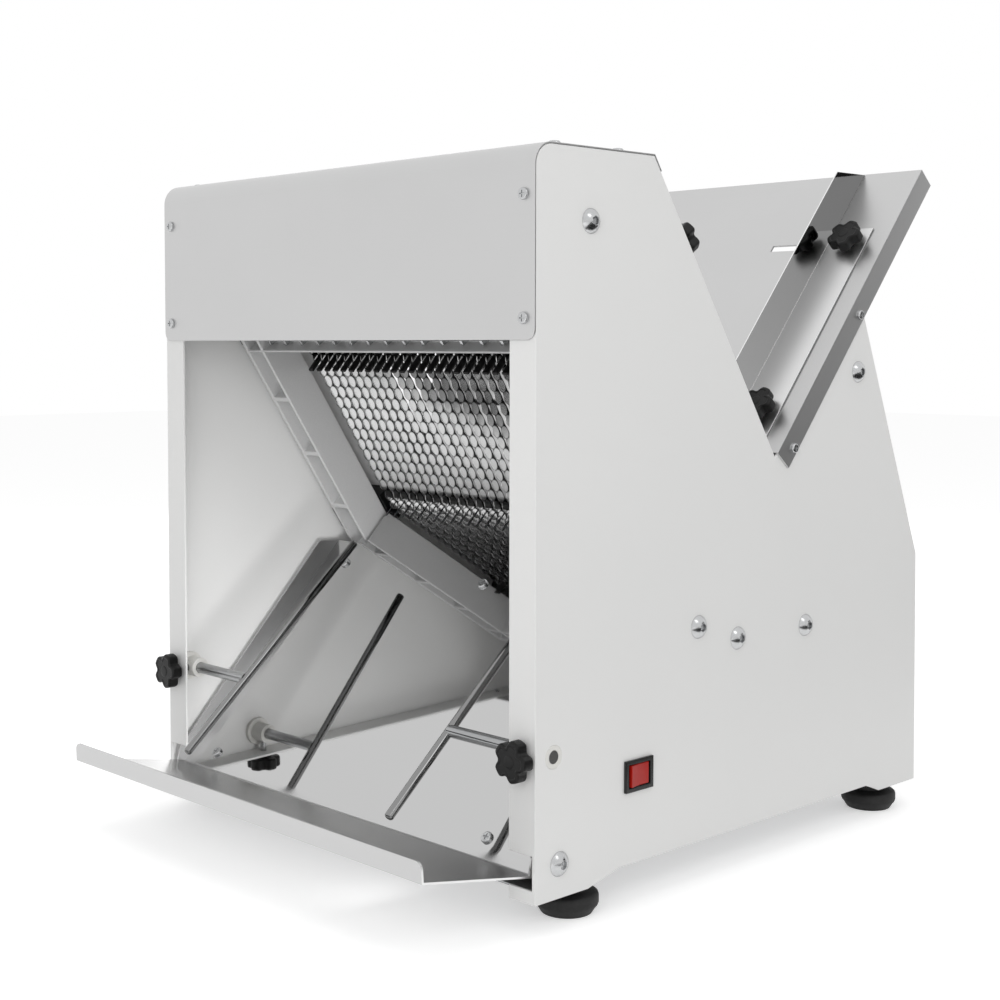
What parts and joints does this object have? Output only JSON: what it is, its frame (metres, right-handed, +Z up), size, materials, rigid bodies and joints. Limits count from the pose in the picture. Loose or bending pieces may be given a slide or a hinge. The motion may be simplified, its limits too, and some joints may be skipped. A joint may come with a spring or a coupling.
{
  "type": "commercial bread slicer",
  "caption": "Bench-top bread slicer: two antiphase frames of scalloped blades on a crank drive, sloped infeed tray with guides, delivery plate with catch tray, crumb drawer.",
  "frame": {"origin": "Middle of the overall box at floor level, under the four rubber feet.", "axes": "+X to the machine's right as seen from its delivery side, +Y from the catch tray to the infeed tray at the back, +Z up."},
  "size_m": [0.4904, 0.6342, 0.5986],
  "materials": {
    "white_paint": "smooth powder coat, white",
    "stainless": "satin stainless sheet",
    "polished_stainless": "mirror-polished stainless sheet",
    "cast_aluminium": "fine-blasted casting",
    "machined_steel": "turned and ground steel",
    "blade_steel": "polished thin blade steel",
    "bolt_steel": "bright zinc and stainless fasteners",
    "black_nylon": "black moulded nylon",
    "white_nylon": "white turned nylon",
    "black_rubber": "moulded rubber",
    "red_rocker": "translucent red moulded plastic",
    "black_plastic": "black moulded plastic",
    "motor_paint": "dark grey enamel",
    "galvanised": "zinc-plated sheet",
    "cast_iron": "machined cast iron"
  },
  "bodies": {
    "casing": {"side_panel_left": "white_paint", "side_panel_right": "white_paint", "front_cover": "stainless", "casing_screws": "bolt_steel", "slope_guard": "stainless", "upper_comb": "black_nylon", "rear_panel": "white_paint", "base_plate": "galvanised", "feet": "black_rubber", "upper_bars": "machined_steel", "tray_bars": "machined_steel", "drive_bars": "machined_steel", "panel_bolts_right": "bolt_steel", "panel_bolts_left": "bolt_steel", "infeed_tray": "stainless", "tray_screws": "bolt_steel", "delivery_plate": "polished_stainless", "chute_screws": "bolt_steel", "shaft_bushings": "white_nylon", "frame_guides_right": "black_nylon", "frame_guides_left": "black_nylon", "bearing_plates": "galvanised", "crank_bearings": "machined_steel", "drive_belt": "black_rubber", "motor": "motor_paint", "motor_bridge": "galvanised", "switch_bezel": "black_plastic", "power_inlet": "black_plastic"},
    "front_blade_set": {"blade_frame_front": "cast_aluminium", "blades_front": "blade_steel", "blade_hooks_front": "bolt_steel", "wrist_pin_front": "machined_steel"},
    "rear_blade_set": {"blade_frame_rear": "cast_aluminium", "blades_rear": "blade_steel", "blade_hooks_rear": "bolt_steel", "wrist_pin_rear": "machined_steel"},
    "front_rod": {"con_rod_front": "cast_iron"},
    "rear_rod": {"con_rod_rear": "cast_iron"},
    "crank": {"crankshaft": "machined_steel", "crank_pulley": "cast_iron"},
    "rotor": {"motor_shaft": "machined_steel", "motor_pulley": "cast_iron"},
    "rocker": {"switch_rocker": "red_rocker"},
    "guide_right": {"infeed_guide_right": "stainless"},
    "guide_left": {"infeed_guide_left": "stainless"},
    "guide_knob_right_lower": {"guide_knob_right_lower": "black_plastic"},
    "guide_knob_right_upper": {"guide_knob_right_upper": "black_plastic"},
    "guide_knob_left_lower": {"guide_knob_left_lower": "black_plastic"},
    "guide_knob_left_upper": {"guide_knob_left_upper": "black_plastic"},
    "slope_knob_right": {"slope_knob_right": "black_plastic"},
    "slope_knob_left": {"slope_knob_left": "black_plastic"},
    "rod_slider_left": {"side_shaft_left": "machined_steel", "guide_rod_left": "blade_steel"},
    "rod_slider_right": {"side_shaft_right": "machined_steel", "guide_rod_right": "blade_steel"},
    "rod_knob_right": {"rod_knob_right": "black_plastic"},
    "rod_knob_left": {"rod_knob_left": "black_plastic"},
    "drawer": {"crumb_drawer": "stainless"}
  },
  "joints": [
    {"name": "front_blade_slide", "type": "slide", "parent": "casing", "child": "front_blade_set", "axis": [0, 0.5534, -0.8329], "range_m": [-0.01, 0.01]},
    {"name": "rear_blade_slide", "type": "slide", "parent": "casing", "child": "rear_blade_set", "axis": [0, 0.5534, -0.8329], "range_m": [-0.01, 0.01]},
    {"name": "front_rod_swing", "type": "hinge", "parent": "front_blade_set", "child": "front_rod", "pos_m": [-0.06, 0.06647, 0.20661], "axis": [1, 0, 0], "range_deg": [-10.03, 0]},
    {"name": "rear_rod_swing", "type": "hinge", "parent": "rear_blade_set", "child": "rear_rod", "pos_m": [0.06, 0.06647, 0.20661], "axis": [1, 0, 0], "range_deg": [0, 10.03]},
    {"name": "crank_spin", "type": "hinge", "parent": "casing", "child": "crank", "pos_m": [0, 0.12956, 0.11166], "axis": [1, 0, 0], "continuous": true},
    {"name": "motor_spin", "type": "hinge", "parent": "casing", "child": "rotor", "pos_m": [0, 0.228, 0.134], "axis": [1, 0, 0], "continuous": true},
    {"name": "switch_rock", "type": "hinge", "parent": "casing", "child": "rocker", "pos_m": [0.237, -0.097, 0.1018], "axis": [0, 0, 1], "range_deg": [-10, 0]},
    {"name": "guide_right_slide", "type": "slide", "parent": "casing", "child": "guide_right", "axis": [-1, 0, 0], "range_m": [0, 0.084]},
    {"name": "guide_left_slide", "type": "slide", "parent": "casing", "child": "guide_left", "axis": [1, 0, 0], "range_m": [0, 0.084]},
    {"name": "guide_knob_right_lower_turn", "type": "hinge", "parent": "guide_right", "child": "guide_knob_right_lower", "pos_m": [0.206, 0.10833, 0.37683], "axis": [0, -0.7543, 0.6566], "continuous": true},
    {"name": "guide_knob_right_upper_turn", "type": "hinge", "parent": "guide_right", "child": "guide_knob_right_upper", "pos_m": [0.206, 0.23965, 0.52768], "axis": [0, -0.7543, 0.6566], "continuous": true},
    {"name": "slope_knob_right_turn", "type": "hinge", "parent": "casing", "child": "slope_knob_right", "pos_m": [0.222, -0.0356, 0.51578], "axis": [0, 0.8329, 0.5534], "continuous": true},
    {"name": "guide_knob_left_lower_turn", "type": "hinge", "parent": "guide_left", "child": "guide_knob_left_lower", "pos_m": [-0.206, 0.10833, 0.37683], "axis": [0, -0.7543, 0.6566], "continuous": true},
    {"name": "guide_knob_left_upper_turn", "type": "hinge", "parent": "guide_left", "child": "guide_knob_left_upper", "pos_m": [-0.206, 0.23965, 0.52768], "axis": [0, -0.7543, 0.6566], "continuous": true},
    {"name": "slope_knob_left_turn", "type": "hinge", "parent": "casing", "child": "slope_knob_left", "pos_m": [-0.222, -0.0356, 0.51578], "axis": [0, 0.8329, 0.5534], "continuous": true},
    {"name": "rod_slide_left", "type": "slide", "parent": "casing", "child": "rod_slider_left", "axis": [-1, 0, 0], "range_m": [0, 0.053]},
    {"name": "rod_slide_right", "type": "slide", "parent": "casing", "child": "rod_slider_right", "axis": [1, 0, 0], "range_m": [0, 0.071]},
    {"name": "rod_knob_right_turn", "type": "hinge", "parent": "casing", "child": "rod_knob_right", "pos_m": [0.2275, -0.212, 0.1315], "axis": [0, -1, 0], "continuous": true},
    {"name": "rod_knob_left_turn", "type": "hinge", "parent": "casing", "child": "rod_knob_left", "pos_m": [-0.2275, -0.212, 0.1315], "axis": [0, -1, 0], "continuous": true},
    {"name": "drawer_slide", "type": "slide", "parent": "casing", "child": "drawer", "axis": [0, 1, 0], "range_m": [0, 0.33]}
  ],
  "couplings": [
    {"joint": "rear_blade_slide", "follows": "front_blade_slide", "ratio": -1},
    {"joint": "rear_rod_swing", "follows": "front_rod_swing", "ratio": -1},
    {"joint": "motor_spin", "follows": "crank_spin", "ratio": 2.5217}
  ]
}
